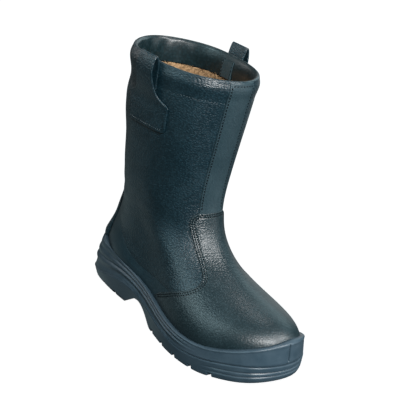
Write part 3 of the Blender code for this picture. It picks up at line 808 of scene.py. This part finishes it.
def vamp_base(half):
    """Where lines across the vamp end at the sole: straight below its wing, and spread to the toe above."""
    wing = int(np.argmax(half[:, 1] > WING_LEVEL))
    spread_out = np.linspace(half[wing, 0], 0.5, len(half) - wing)
    around = np.concatenate([half[:wing, 0], spread_out])
    level = np.minimum(rim_level(around) * PANEL_FOOT, half[:, 1] - 0.001)
    return np.stack([around, level], axis=-1)


def make_vamp():
    side_count, top_count = 170, 26
    outline = smooth_line(VAMP_EDGE, side_count)
    halves = []
    for side in (-1, 1):
        place = place_on_upper(outline[:, 0], outline[:, 1], side)
        around = np.linspace(place[-1, 0], 0.5, top_count)[1:]
        heights = np.linspace(outline[-1, 1], VAMP_TOP, top_count)[1:]
        level = level_at(around, heights, np.linspace(0.2, 0.7, 200))
        half = np.concatenate([place, np.stack([around, level], axis=-1)])
        halves.append(even_steps(half, side_count + top_count))
    edge = np.concatenate([halves[0], halves[1][-2::-1]])
    bases = [vamp_base(half) for half in halves]
    base = np.concatenate([bases[0], bases[1][-2::-1]])
    around, level, distance = panel_places(edge, base, 90)
    points = skin(around, level, edge_lift(distance, VAMP_LIFT, VAMP_ROWS))
    grain = VAMP_GRAIN - VAMP_GRAIN_FALL * blend(*VAMP_GRAIN_X, points[..., 0])
    grid_piece("vamp_leather", points, False, "vamp", "leather", nodes=["vamp"], grain=grain)
    out = outward(edge[:, 0], edge[:, 1])
    for row in VAMP_ROWS:
        line, up = line_inside(points, out, distance, row)
        sew(line[6:-6], up[6:-6], "dark_thread_and_painted_shade", spacing=2.7, length=1.6, width=1.2)


def make_strip():
    rows, columns = 150, 44
    foot = level_at(0.5, VAMP_TOP - STRIP_UNDER, np.linspace(0.3, 0.7, 300))[0]
    level = np.linspace(foot, 1 - STRIP_SHORT / UPPER_HEIGHT, rows)
    probe = np.linspace(0.36, 0.64, 281)
    points = upper_point(probe[None, :], level[:, None])
    half = np.interp(points[:, len(probe) // 2, 2], *np.transpose(STRIP_HALF))
    left, right = (np.array([np.interp(side * w, line, probe) for w, line in zip(half, points[..., 1])])
                   for side in (-1, 1))
    across = spaced_across(columns)
    around = (left + right)[:, None] / 2 + across * (right - left)[:, None] / 2
    levels = np.broadcast_to(level[:, None], around.shape)
    distance = (1 - np.abs(across)) * half[:, None]
    from_top = (level[-1] - levels) * UPPER_HEIGHT
    lift = edge_lift(distance, STRIP_LIFT, (STRIP_ROW,), STRIP_TROUGH) * round_over(from_top / STRIP_ROUND)
    dressed = skin(around, levels, lift, hem=False)
    grid_piece("strip_leather", dressed, False, "smooth", "smooth_leather", nodes=["front_strip"], grain=1.0)
    out = outward(around, levels)
    each_row = np.arange(rows)
    for side in (-1, 1):
        where = side * (1 - STRIP_ROW / half)
        index = (np.arcsin(where) * 2 / math.pi + 1) / 2 * (columns - 1)
        low = np.floor(index).astype(int)
        part = (index - low)[:, None]
        line = dressed[each_row, low] * (1 - part) + dressed[each_row, low + 1] * part
        sew(line[4:-5], out[each_row, low][4:-5], "dark_thread_and_painted_shade",
            spacing=3.2, length=1.9, width=1.5, height=0.4)
    top_row = rows - 1 - int(STRIP_TOP_ROW / (UPPER_HEIGHT * (level[1] - level[0])))
    sew(dressed[top_row, 8:-8], out[top_row, 8:-8], "dark_thread_and_painted_shade")


def make_counters():
    count, lead = 150, 20
    outline = smooth_line(COUNTER_EDGE, count)
    for side, name in ((-1, "lateral"), (1, "medial")):
        place = even_steps(place_on_upper(outline[:, 0], outline[:, 1], side), count)
        top = on_upper(place[0])[2]
        probe = np.linspace(0.005, 0.12, 200)
        if side > 0:
            probe = 1 - probe
        reach = np.interp(top, *np.transpose(COUNTER_STOP)[::-1])
        begin = np.interp(reach, np.abs(upper_point(probe, place[0, 1])[:, 1]), probe)
        lead_around = np.linspace(begin, place[0, 0], lead)[:-1]
        lead_z = np.linspace(COUNTER_BACK, top, lead)[:-1]
        lead_level = level_at(begin, lead_z, np.linspace(0.02, 0.35, 200))
        edge = np.concatenate([np.stack([lead_around, lead_level], axis=-1), place])
        edge = even_steps(edge, count)
        base_around = np.linspace(edge[0, 0], edge[-1, 0], count)
        base = np.stack([base_around, rim_level(base_around) * PANEL_FOOT], axis=-1)
        if side > 0:
            edge, base = edge[::-1], base[::-1]
        around, level, distance = panel_places(edge, base, 40)
        above = (level - rim_level(around.ravel()).reshape(around.shape)) * UPPER_HEIGHT
        flare = FLARE * hump(np.maximum(above, 0), FLARE_REACH)
        lift = edge_lift(distance, COUNTER_LIFT, COUNTER_ROWS, COUNTER_TROUGH)
        lift = lift + flare * blend(2, 12, distance)
        points = skin(around, level, lift)
        grain = COUNTER_GRAIN + (1 - COUNTER_GRAIN) * blend(*COUNTER_GRAIN_X, points[..., 0])
        grid_piece(f"counter_leather_{name}", points, False, "counter", "smooth_leather",
                   nodes=[f"heel_counter_{name}"], grain=grain)
        out = outward(edge[:, 0], edge[:, 1])
        for row in COUNTER_ROWS:
            line, up = line_inside(points, out, distance, row)
            sew(line[3:-3], up[3:-3], "dark_thread_and_painted_shade", spacing=2.7, length=1.7)


def make_strap():
    """The padded strap up the heel seam."""
    rows, columns = 70, 48
    foot = rim_level(np.array([0.0]))[0]
    top = level_at(0.0, STRAP_TOP, np.linspace(0, 0.6, 121))[0]
    share = np.linspace(0, 1, rows)[:, None]
    across = spaced_across(columns)
    table = np.array(STRAP_CROWN)
    crown = cubic_through(table[:, 0], table[:, 1:], share[:, 0])
    lift = (STRAP_GAP + STRAP_EDGE + crown) * (1 - across**6) ** 0.5 * round_over((1 - share) / STRAP_ROUND)
    level = np.broadcast_to(foot + (top - foot) * share, lift.shape)
    around = np.broadcast_to(STRAP_REACH * across, lift.shape)
    points = np.concatenate([skin(around[:1], level[:1], 0), skin(around, level, lift)])
    grid_piece("strap_leather", points, False, "pebbled", "leather", nodes=["back_strap"], grain=1.0)


def loop_point(side, share, across):
    """The middle of a pull loop's strap, share of the way along it and across it from -1 to 1."""
    table = np.array([[LOOP_RISES[side] if v == "fold" else v for v in row] for row in LOOP_PATH], float)
    knots = travelled(table)
    knots = knots / knots[-1]
    height, lift = np.moveaxis(cubic_through(knots, table, share), -1, 0)
    on_patch = blend(*PATCH_BLEND, height) * (share > knots[LOOP_FOLD])
    half = LOOP_HALF + on_patch * (np.interp(-height, *np.transpose(PATCH_HALF)) - LOOP_HALF)
    place = LOOP_PLACES[side]
    shaft = np.linalg.norm(upper_point(place, 0.8) - upper_point(place, 1.0)) / 0.2
    around = place + across * half / girth_at(place, 1.0)
    inside = np.minimum(1 + height / shaft, 1)
    _, up_it, out_of_it = upper_frame(around, inside)
    above = np.maximum(height, 0)[..., None]
    off = (lift + crease(around, inside))[..., None]
    return upper_point(around, inside) + above * up_it + off * out_of_it


def loop_frame(side, share, across):
    """The strap's middle and its direction off the upper on its outer leg."""
    step, aside = 2e-3, 0.02
    after, before = (loop_point(side, np.clip(share + move, 0, 1), across) for move in (step, -step))
    over = loop_point(side, share, across + aside) - loop_point(side, share, across - aside)
    return loop_point(side, share, across), unit(np.cross(after - before, over))


def make_loops():
    steps, flat, ends = 170, 26, 7
    half = STRAP_LEATHER / 2
    trim = 0.07
    face = np.linspace(-1 + trim, 1 - trim, flat)
    turn = np.linspace(0, math.pi, ends + 2)[1:-1]
    bulge = 1 - trim + trim * np.sin(turn)
    across = np.concatenate([face, bulge, face[::-1], -bulge])
    outer = np.concatenate([np.full(flat, half), half * np.cos(turn)])
    off = np.concatenate([outer, -outer])
    over = np.linspace(-PATCH_ROW_REACH, PATCH_ROW_REACH, 60)
    down = np.linspace(*PATCH_ROWS, 60)
    seams = (
        (PATCH_ROWS[0], over, "dark_thread_and_painted_shade"),
        # The lower row's pale stitches are painted glints round the needle holes: painted highlight.
        (PATCH_ROWS[1], over, "grey_thread_and_painted_glint"),
        (down, PATCH_SIDE, "dark_thread_and_painted_shade"),
        (down, -PATCH_SIDE, "dark_thread_and_painted_shade"),
    )
    around_it = np.arange(len(across))
    faces = [*grid_faces(steps, len(across), True), around_it[::-1], around_it + (steps - 1) * len(across)]
    for side in LOOP_RISES:
        middle, out = loop_frame(side, *np.broadcast_arrays(np.linspace(0, 1, steps)[:, None], across))
        make_piece(f"loop_leather_{side}", middle + off[:, None] * out, faces, "pebbled", "leather",
                   nodes=[f"pull_loop_{side}"], grain=1.1)
        for along, beside, colour in seams:
            middle, out = loop_frame(side, *np.broadcast_arrays(along, beside))
            sew(middle + half * out, out, colour, spacing=2.8, length=1.4, width=0.6, height=0.25)


# The mould's parting line on the toe bumper: its place round the sole, half width and depth, and where it
# starts and ends on the wall. The sole's rings have more points there.
PARTING, PARTING_HALF, PARTING_DEEP = 0.494, 7 / 9000, 1.8
PARTING_START, PARTING_END = (0.11, 0.15), (0.93, 0.97)
RING = np.unique(np.concatenate([np.arange(420) / 420, PARTING + np.linspace(-0.003, 0.003, 14)]))


def sole_ring(outset, z):
    """A ring of the sole: its outline moved out by outset, at the heights z."""
    plan = sole_outline(RING, outset)
    return np.concatenate([plan, np.broadcast_to(z, len(plan))[:, None]], axis=1)


def wall_ring(outset, z, share, edge):
    """A ring of the sole's wall, at its share of the height. Round the heel it bows in to the rim's edge."""
    ring = sole_ring(outset, z)
    bow = (1 - blend(BOW_FULL, BOW_END, ring[:, 0])) * share**BOW_POWER
    return ring + bow[:, None] * (edge - ring) * (1, 1, 0)


def make_midsole():
    x = sole_outline(RING, 0)[:, 0]
    ridge, rim, lean = (sole_height(name, x) for name in SOLE_COLUMNS[1:])
    bumper = blend(BUMPER_START, BUMPER_FULL, x)
    table = np.array(BAND_LEVELS)
    shares = np.unique(np.concatenate([np.linspace(0, 1, 60), [0.02, 0.965, 0.98, 0.99]]))
    relief = cubic_through(table[:, 0], table[:, 1:], shares)
    parting = PARTING_DEEP * hump(RING - PARTING, PARTING_HALF)
    level = rim_level(RING)
    out = outward(RING, level)
    from_back = np.minimum(RING, 1 - RING)
    lift = RIM_EDGE + RIM_BACK * (1 - blend(RIM_BACK_FULL, RIM_BACK_END, from_back))
    top = upper_point(RING, level)
    edge = top + lift[:, None] * out
    rings = []
    for share, (side, toe) in zip(shares, relief):
        cut = parting * blend(*PARTING_START, share) * (1 - blend(*PARTING_END, share))
        outset = side + (toe - side) * bumper - lean * share - cut
        rings.append(wall_ring(outset, ridge + (rim - ridge) * share, share, edge))
    rings.extend(top + off * out + (0, 0, rise) for off, rise in RIM_ROLL)
    inside = level * CUP_LEVEL
    rings.append(upper_point(RING, inside) + CUP_GAP * outward(RING, inside))
    grid_piece("midsole_wall", np.array(rings), True, "rubber", "sole", nodes=["midsole"])


def prism(name, outline, axis, low, high):
    """A cutter: an outline in the plane across an axis, drawn out along that axis."""
    ends = []
    for place in (low, high):
        ends.append([np.insert(np.array(corner, float), axis, place) for corner in outline])
    count = len(outline)
    sides = [(i, (i + 1) % count, (i + 1) % count + count, i + count) for i in range(count)]
    mesh = bpy.data.meshes.new(name)
    places = (np.array(ends).reshape(-1, 3) - (HEEL_REST_X, 0, 0)) * MM
    mesh.from_pydata(places.tolist(), [], sides + [tuple(range(count))[::-1], tuple(range(count, 2 * count))])
    return bpy.data.objects.new(name, mesh)


def make_outsole():
    x = sole_outline(RING, 0)[:, 0]
    low = ground(x)
    high = sole_height("ridge", x) - GAP
    grooves = blend(TOE_GROOVE_START, TOE_GROOVE_FULL, x)
    taper = HEEL_TAPER + (FOREFOOT_TAPER - HEEL_TAPER) * blend(TAPER_START, TAPER_END, x)
    table = np.array(TREAD_LEVELS)
    shares = np.linspace(0, 1, 40)
    relief = at_distances(shares, table[:, 0], table[:, 1:])
    rings = [sole_ring(toe * grooves - tapered * taper, low + (high - low) * share)
             for share, (tapered, toe) in zip(shares, relief)]
    rings.append(sole_ring(-TREAD_LEDGE, high))
    rings = np.array(rings)
    rows, columns = rings.shape[:2]
    faces = [*grid_faces(rows, columns, True)]
    for row, order in ((0, -1), (rows - 1, 1)):
        for i in range(columns // 2):
            strip = [row * columns + k for k in (i, i + 1, columns - 1 - i, (columns - i) % columns)]
            faces.append(list(dict.fromkeys(strip))[::order])
    piece = make_piece("outsole_tread", rings, faces, "rubber", "sole", nodes=["outsole"])
    cutters = [arch_cutter()]
    cutters.extend(groove_cutter(number, at) for number, at in enumerate(GROOVE_X))
    cutters.extend(notch_cutter(at, side) for at in NOTCH_X for side in (-1, 1))
    for cutter in cutters:
        bpy.context.scene.collection.objects.link(cutter)
        modifier = piece.modifiers.new(cutter.name, "BOOLEAN")
        modifier.operation = "DIFFERENCE"
        modifier.solver = "EXACT"
        modifier.object = cutter
    shaped = bpy.data.meshes.new_from_object(piece.evaluated_get(bpy.context.evaluated_depsgraph_get()))
    piece.modifiers.clear()
    piece.data = shaped
    shaped.shade_smooth()
    shaped.set_sharp_from_angle(angle=math.radians(SHARP_FROM))
    for cutter in cutters:
        bpy.data.objects.remove(cutter, do_unlink=True)


def arch_cutter():
    """The hollow under the waist: the heel's sloping breast, a round top and a long fall to the forefoot."""
    share = np.linspace(0, 1, ARCH_POINTS)
    fall = zip(ARCH_TOP[0] + share * (ARCH_END[0] - ARCH_TOP[0]), ARCH_TOP[1] * np.cos(share * math.pi / 2))
    below = ((ARCH_END[0], -FAR), (BREAST_FOOT[0], -FAR))
    return prism("arch", (BREAST_FOOT, BREAST_TOP, *fall, *below), 1, -FAR, FAR)


def groove_cutter(number, x):
    """A groove across the tread, its middle ahead of its ends."""
    half = GROOVE_WIDTH / 2
    front = [(x + half, -GROOVE_REACH / 2), (x + half + GROOVE_POINT, 0), (x + half, GROOVE_REACH / 2)]
    back = [(u - GROOVE_WIDTH, v) for u, v in reversed(front)]
    shape = [(u - GROOVE_POINT * (abs(v) * 2 / GROOVE_REACH), v * 2) for u, v in front + back]
    return prism(f"groove_{number}", shape, 2, -FAR, float(ground(x)) + GROOVE_DEPTH)


def notch_cutter(x, side):
    """A sharp notch in the tread's wall, where a groove leaves it."""
    around = np.linspace(0.02, 0.48, 461)
    if side > 0:
        around = 1 - around
    nearest = around[np.argmin(np.abs(sole_outline(around, 0)[:, 0] - x))]
    inset = -NOTCH_TAPER * (HEEL_TAPER if x < TAPER_START else FOREFOOT_TAPER)
    wall, outside, deepest = (sole_outline(np.array([nearest]), inset + out)[0]
                              for out in (0, NOTCH_OUT, -NOTCH_DEEP))
    out = unit(outside - wall)
    along = np.array([-out[1], out[0]]) * NOTCH_WIDE * (NOTCH_OUT + NOTCH_DEEP) / NOTCH_DEEP / 2
    corners = [deepest, outside + along, outside - along]
    top = float(ground(x)) + NOTCH_RISE * float(sole_height("ridge", x))
    return prism(f"notch_{x}_{side}", corners, 2, -FAR, top)


def make_lining():
    """The fur inside, from under the facing down to the footbed, with tufts that stand off it."""
    rng = np.random.default_rng(SEED)
    columns, rows = 220, 150
    around = np.arange(columns) / columns
    top = 1 - (FACING_DEPTH - FUR_UNDER) / UPPER_HEIGHT
    share = np.linspace(0, 1, rows)[:, None]
    level = top * share + rim_level(around) * FUR_FOOT * (1 - share)
    wide = np.broadcast_to(around, level.shape)
    tuft = sum(np.sin(wide * math.tau * count + turn) * np.sin(level * UPPER_HEIGHT / long + start)
               for count, long, turn, start in TUFT_WAVES)
    deep = FUR_BACK + PILE * 0.55 * blend(0, 0.02, 1 - share) + 0.45 * tuft
    deep = deep + rng.uniform(-0.3, 0.3, level.shape)
    points = upper_point(wide, level) - deep[..., None] * outward(wide, level)
    fleck = MEAN_FLECK + 0.06 * tuft + rng.uniform(-0.2, 0.2, level.shape)
    grid_piece("fur_lining", points[::-1], True, "fur", "felt", fleck=fleck[::-1])

    place = rng.uniform(0, 1, TUFTS)
    height = top - 0.006 - rng.uniform(0, 1, TUFTS) ** 1.6 * TUFT_REACH
    _, up_it, out_of_it = upper_frame(place, height)
    root = upper_point(place, height) - TUFT_ROOT * out_of_it
    round_it = np.cross(up_it, out_of_it)
    lean = rng.normal(0, 1, (TUFTS, 3))
    tip = root - out_of_it * rng.uniform(0.8, 1.8, TUFTS)[:, None] + lean * 0.8 - up_it * 0.9
    bend = (root + tip) / 2 + rng.normal(0, 0.3, (TUFTS, 3))
    width = rng.uniform(0.18, 0.34, TUFTS)[:, None]
    side = unit(round_it + rng.normal(0, 0.4, (TUFTS, 3))) * width
    shape = np.stack([root - side, root + side, bend + side * 0.8, bend - side * 0.8, tip], axis=1)
    start = np.arange(TUFTS)[:, None] * shape.shape[1]
    faces = [*(start + (0, 1, 2, 3)), *(start + (3, 2, 4))]
    shade = rng.uniform(0.3, 0.75, TUFTS)[:, None]
    make_piece("fur_tufts", shape, faces, "fur", "felt", fleck=shade)


def make_footbed():
    """The felt footbed at the bottom of the boot."""
    columns, rows = 200, 24
    around = np.arange(columns) / columns
    bottom = np.zeros(columns)
    rim = upper_point(around, bottom) - FELT_IN * outward(around, bottom)
    middle = np.stack([rim[:, 0], bottom, rim[:, 2]], axis=-1)
    rings = [rim - (0, 0, GAP)]
    for share in np.linspace(0, 1, rows):
        crown = FELT_THICK - FELT_DISH * share**2
        rings.append(rim + (middle - rim) * share * 0.98 + (0, 0, crown))
    grid_piece("footbed", np.array(rings), True, "felt", "felt", nodes=["insole"], fleck=MEAN_FLECK)


def metres(point):
    return Vector(((point[0] - HEEL_REST_X) * MM, point[1] * MM, point[2] * MM))


def make_camera():
    turn, tilt, roll = (math.radians(v) for v in (VIEW_TURN, VIEW_TILT, VIEW_ROLL))
    back = Vector((math.sin(turn) * math.cos(tilt), -math.cos(turn) * math.cos(tilt), math.sin(tilt)))
    level = Vector((math.cos(turn), math.sin(turn), 0))
    above = back.cross(level)
    right = level * math.cos(roll) + above * math.sin(roll)
    up = above * math.cos(roll) - level * math.sin(roll)
    place = metres(VIEW_TARGET) + back * VIEW_DISTANCE * MM
    data = bpy.data.cameras.new("photo_view")
    data.lens = VIEW_LENS
    data.sensor_width = VIEW_FRAME
    camera = bpy.data.objects.new("photo_view", data)
    camera.matrix_world = Matrix.Translation(place) @ Matrix((right, up, back)).transposed().to_4x4()
    bpy.context.scene.collection.objects.link(camera)
    bpy.context.scene.camera = camera


# Lamps: name, place, target, size, power, and whether the boot only mirrors them
LAMPS = (
    ("key_box", (1.10, -0.50, 0.78), (0.12, 0, 0.12), (0.26, 0.36), 31, False),
    ("front_box", (1.00, 0.25, 1.05), (0.15, 0, 0.10), (0.30, 0.30), 18, False),
    ("side_box", (-0.15, -0.88, 1.00), (0.15, 0, 0.05), (0.30, 0.60), 7, True),
    ("rim_box", (-0.30, -1.15, 0.52), (0.05, 0, 0.26), (0.90, 0.20), 3.2, True),
    ("left_box", (-1.00, -0.45, 0.75), (0.05, 0, 0.15), (0.50, 0.70), 3, False),
    ("left_floor", (-0.95, -0.16, -0.45), (0.0, 0, 0.18), (0.60, 0.50), 0.4, True),
    ("toe_box", (-0.10, 0.95, 0.75), (0.20, 0, 0.08), (0.60, 0.50), 2, True),
    ("back_box", (-0.35, 0.45, 1.40), (0.05, 0, 0.25), (0.40, 0.40), 4, False),
    ("right_wall", (1.25, 0.85, 0.25), (0.1, 0, 0.15), (1.2, 1.2), 6, False),
    ("back_wall", (-1.10, 1.25, 0.35), (0.0, 0, 0.15), (1.8, 1.4), 5, False),
)
SHEEN_TINT = (0.70, 0.95, 1.0)
WORLD_TINT, WORLD_STRENGTH = (0.70, 0.94, 1.0, 1), 0.11
FLOOR_REACH, FLOOR_Z, WALL_TOP = 30, -0.0003, 20


def softbox(name, place, target, size, power, sheen_only):
    """A soft lamp. With sheen_only the boot just mirrors it, like a bright wall too far off to light it."""
    data = bpy.data.lights.new(name, "AREA")
    data.shape = "RECTANGLE"
    data.size, data.size_y = size
    data.energy = power
    data.color = SHEEN_TINT if sheen_only else (1, 1, 1)
    lamp = bpy.data.objects.new(name, data)
    lamp.location = place
    lamp.rotation_euler = (Vector(place) - Vector(target)).to_track_quat("Z", "Y").to_euler()
    lamp.light_linking.receiver_collection = LIT
    lamp.visible_diffuse = not sheen_only
    bpy.context.scene.collection.objects.link(lamp)


def make_studio():
    scene = bpy.context.scene
    scene.view_settings.view_transform = "Standard"
    world = bpy.data.worlds.new("studio")
    world.use_nodes = True
    sky = world.node_tree.nodes["Background"].inputs
    sky["Color"].default_value = WORLD_TINT
    sky["Strength"].default_value = WORLD_STRENGTH
    scene.world = world
    for lamp in LAMPS:
        softbox(*lamp)
    make_floor()


def make_floor():
    """A pale floor with far walls, which neither lights nor shades the boot."""
    glow = {"Emission Color": (1, 1, 1, 1), "Emission Strength": 1.0}
    tree, shader, place = new_finish("floor", {"Roughness": 0.9, "Specular IOR Level": 0.1, **glow})
    soft = noise(tree, place, 3.0, 2.0)["Fac"]
    wire(tree, shader, {"Base Color": mix_colour(tree, soft, (0.93,) * 3, (0.96,) * 3)})
    mesh = bpy.data.meshes.new("floor")
    corners = [(x * FLOOR_REACH, y * FLOOR_REACH) for x, y in ((-1, -1), (1, -1), (1, 1), (-1, 1))]
    points = [(x, y, z) for z in (FLOOR_Z, WALL_TOP) for x, y in corners]
    walls = [(i, i + 4, (i + 1) % 4 + 4, (i + 1) % 4) for i in range(4)]
    mesh.from_pydata(points, [], [(0, 1, 2, 3), *walls])
    mesh.materials.append(FINISHES["floor"])
    floor = bpy.data.objects.new("floor", mesh)
    floor.visible_diffuse = False
    floor.visible_glossy = False
    floor.visible_shadow = False
    bpy.context.scene.collection.objects.link(floor)


make_camera()
make_finishes()
make_studio()
make_upper()
make_vamp()
make_strip()
make_counters()
make_strap()
make_loops()
make_midsole()
make_outsole()
make_lining()
make_footbed()
make_stitches()

bpy.context.view_layer.update()
